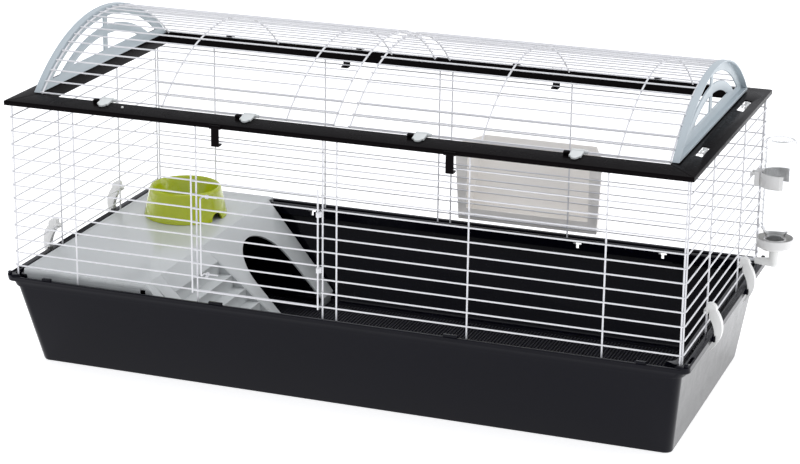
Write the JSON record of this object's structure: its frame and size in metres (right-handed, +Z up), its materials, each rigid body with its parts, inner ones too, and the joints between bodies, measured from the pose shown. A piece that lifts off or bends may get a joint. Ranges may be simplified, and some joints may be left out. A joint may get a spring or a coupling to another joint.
{
  "type": "wire rabbit cage",
  "caption": "Long indoor rabbit cage: deep black tub, white wire walls, domed two-part wire roof, side platform with ramp and hide, bowl, hay rack and bottle.",
  "frame": {"origin": "centre of the tub's flat underside", "axes": "+X along the cage towards the water bottle, -Y towards the front door, +Z up"},
  "size_m": [1.266, 0.6547, 0.58],
  "materials": {
    "tub_black": "satin black moulded plastic with a fine grain",
    "rail_black": "semi-gloss black moulded plastic",
    "wire_white": "white powder-coated steel wire",
    "plate_blue": "satin blue-grey moulded plastic",
    "deck_grey": "satin light grey moulded plastic",
    "bowl_lime": "glossy lime green plastic",
    "rack_beige": "satin warm grey plastic",
    "latch_grey": "satin pale grey plastic",
    "clip_white": "satin white plastic",
    "steel": "polished stainless steel",
    "seal_rubber": "soft pale rubber",
    "bottle_clear": "clear gloss plastic"
  },
  "bodies": {
    "root": {"tub": "tub_black", "corner_knobs": "tub_black", "wall_front": "wire_white", "wall_front_bridge": "wire_white", "wall_back": "wire_white", "wall_left": "wire_white", "wall_right": "wire_white", "front_rail": "rail_black", "back_rail": "rail_black", "left_rail": "rail_black", "right_rail": "rail_black", "end_plate_left": "plate_blue", "end_plate_right": "plate_blue", "roof_hinge_clips": "rail_black", "latch_sockets": "rail_black", "wall_clip_pins": "rail_black", "tub_clip_catches": "tub_black", "door_hinge_eyes": "wire_white", "bottle_holder": "deck_grey"},
    "roof_left": {"roof_hoops_left": "wire_white", "roof_wires_left": "wire_white"},
    "roof_right": {"roof_hoops_right": "wire_white", "roof_wires_right": "wire_white"},
    "latch_1": {"roof_latch_1": "latch_grey"},
    "latch_2": {"roof_latch_2": "latch_grey"},
    "latch_3": {"roof_latch_3": "latch_grey"},
    "latch_4": {"roof_latch_4": "latch_grey"},
    "clip_front_left": {"wall_clip_front_left": "rail_black"},
    "clip_front_right": {"wall_clip_front_right": "rail_black"},
    "clip_back_left": {"wall_clip_back_left": "rail_black"},
    "clip_back_right": {"wall_clip_back_right": "rail_black"},
    "lever_left_front": {"tub_clip_left_front": "clip_white"},
    "lever_left_back": {"tub_clip_left_back": "clip_white"},
    "lever_right_front": {"tub_clip_right_front": "clip_white"},
    "lever_right_back": {"tub_clip_right_back": "clip_white"},
    "door": {"front_door": "wire_white"},
    "bolt": {"door_bolt": "wire_white"},
    "platform": {"platform": "deck_grey"},
    "bowl": {"food_bowl": "bowl_lime"},
    "rack": {"hay_rack": "rack_beige"},
    "bottle_cap": {"bottle_cap": "deck_grey", "bottle_seal": "seal_rubber", "bottle_spout": "clip_white", "spout_tube": "steel"},
    "bottle": {"bottle": "bottle_clear"},
    "ball": {"spout_ball": "steel"}
  },
  "joints": [
    {"name": "roof_left_hinge", "type": "hinge", "parent": "root", "child": "roof_left", "pos_m": [-0.275, 0.24483, 0.48407], "axis": [-1, 0, 0], "range_deg": [0, 110]},
    {"name": "roof_right_hinge", "type": "hinge", "parent": "root", "child": "roof_right", "pos_m": [0.277, 0.24483, 0.48407], "axis": [-1, 0, 0], "range_deg": [0, 110]},
    {"name": "roof_latch_1_flip", "type": "hinge", "parent": "roof_left", "child": "latch_1", "pos_m": [-0.414, -0.24483, 0.48407], "axis": [-1, 0, 0], "range_deg": [0, 100]},
    {"name": "roof_latch_2_flip", "type": "hinge", "parent": "roof_left", "child": "latch_2", "pos_m": [-0.158, -0.24483, 0.48407], "axis": [-1, 0, 0], "range_deg": [0, 100]},
    {"name": "roof_latch_3_flip", "type": "hinge", "parent": "roof_right", "child": "latch_3", "pos_m": [0.138, -0.24483, 0.48407], "axis": [-1, 0, 0], "range_deg": [0, 100]},
    {"name": "roof_latch_4_flip", "type": "hinge", "parent": "roof_right", "child": "latch_4", "pos_m": [0.394, -0.24483, 0.48407], "axis": [-1, 0, 0], "range_deg": [0, 100]},
    {"name": "wall_clip_front_left_swing", "type": "hinge", "parent": "root", "child": "clip_front_left", "pos_m": [-0.2, -0.2895, 0.471], "axis": [-1, 0, 0], "range_deg": [0, 90]},
    {"name": "wall_clip_front_right_swing", "type": "hinge", "parent": "root", "child": "clip_front_right", "pos_m": [0.2, -0.2895, 0.471], "axis": [-1, 0, 0], "range_deg": [0, 90]},
    {"name": "wall_clip_back_left_swing", "type": "hinge", "parent": "root", "child": "clip_back_left", "pos_m": [-0.2, 0.2895, 0.471], "axis": [1, 0, 0], "range_deg": [0, 90]},
    {"name": "wall_clip_back_right_swing", "type": "hinge", "parent": "root", "child": "clip_back_right", "pos_m": [0.2, 0.2895, 0.471], "axis": [1, 0, 0], "range_deg": [0, 90]},
    {"name": "tub_clip_left_front_swing", "type": "hinge", "parent": "root", "child": "lever_left_front", "pos_m": [-0.582, -0.123, 0.2086], "axis": [0, 1, 0], "range_deg": [0, 50]},
    {"name": "tub_clip_left_back_swing", "type": "hinge", "parent": "root", "child": "lever_left_back", "pos_m": [-0.582, 0.123, 0.2086], "axis": [0, 1, 0], "range_deg": [0, 50]},
    {"name": "tub_clip_right_front_swing", "type": "hinge", "parent": "root", "child": "lever_right_front", "pos_m": [0.582, -0.123, 0.2086], "axis": [0, -1, 0], "range_deg": [0, 50]},
    {"name": "tub_clip_right_back_swing", "type": "hinge", "parent": "root", "child": "lever_right_back", "pos_m": [0.582, 0.123, 0.2086], "axis": [0, -1, 0], "range_deg": [0, 50]},
    {"name": "front_door_hinge", "type": "hinge", "parent": "root", "child": "door", "pos_m": [-0.023, -0.2845, 0.285], "axis": [0, 0, 1], "range_deg": [0, 110]},
    {"name": "door_bolt_slide", "type": "slide", "parent": "door", "child": "bolt", "axis": [1, 0, 0], "range_m": [-0.007, 0]},
    {"name": "platform_lift", "type": "slide", "parent": "root", "child": "platform", "axis": [0, 0, 1], "range_m": [0, 0.24]},
    {"name": "food_bowl_lift", "type": "slide", "parent": "platform", "child": "bowl", "axis": [0, 0, 1], "range_m": [0, 0.12]},
    {"name": "hay_rack_lift", "type": "slide", "parent": "root", "child": "rack", "axis": [0, 0, 1], "range_m": [0, 0.014]},
    {"name": "bottle_pull", "type": "slide", "parent": "root", "child": "bottle_cap", "axis": [1, 0, 0], "range_m": [0, 0.1]},
    {"name": "bottle_turn", "type": "hinge", "parent": "bottle_cap", "child": "bottle", "pos_m": [0.625, 0.19, 0.3], "axis": [0, 0, 1], "range_deg": [0, 340]},
    {"name": "spout_ball_push", "type": "slide", "parent": "bottle_cap", "child": "ball", "axis": [1, 0, 0], "range_m": [0, 0.0015]}
  ]
}
